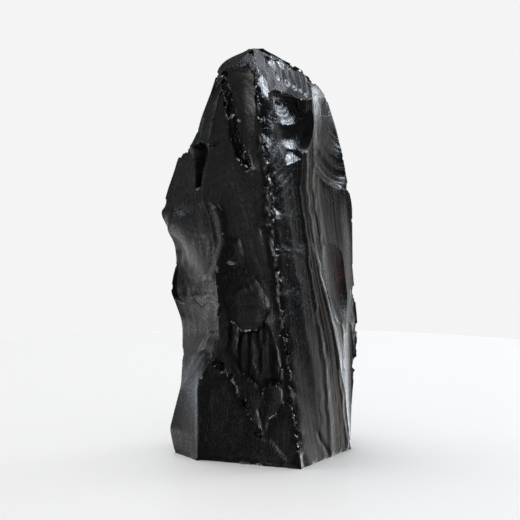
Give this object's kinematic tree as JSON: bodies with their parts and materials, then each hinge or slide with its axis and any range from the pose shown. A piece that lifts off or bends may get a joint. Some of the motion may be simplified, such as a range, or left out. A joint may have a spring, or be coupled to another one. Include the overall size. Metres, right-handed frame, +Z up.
{
  "type": "raw obsidian block",
  "caption": "Tall raw block of black obsidian with conchoidal flake scars, sharp ridges and a flat base to stand on.",
  "frame": {"origin": "centre of the bounding box's bottom face, on the surface the block stands on", "axes": "+Z up along the block's long direction; +X to the right and -Y to the front, where the long upright ridge faces"},
  "size_m": [0.0964, 0.0738, 0.198],
  "materials": {
    "obsidian": "opaque black volcanic glass, glossy on fresh conchoidal breaks, with fine hackle lines and crushed grey edges"
  },
  "bodies": {
    "root": {"obsidian_block": "obsidian"}
  },
  "joints": []
}
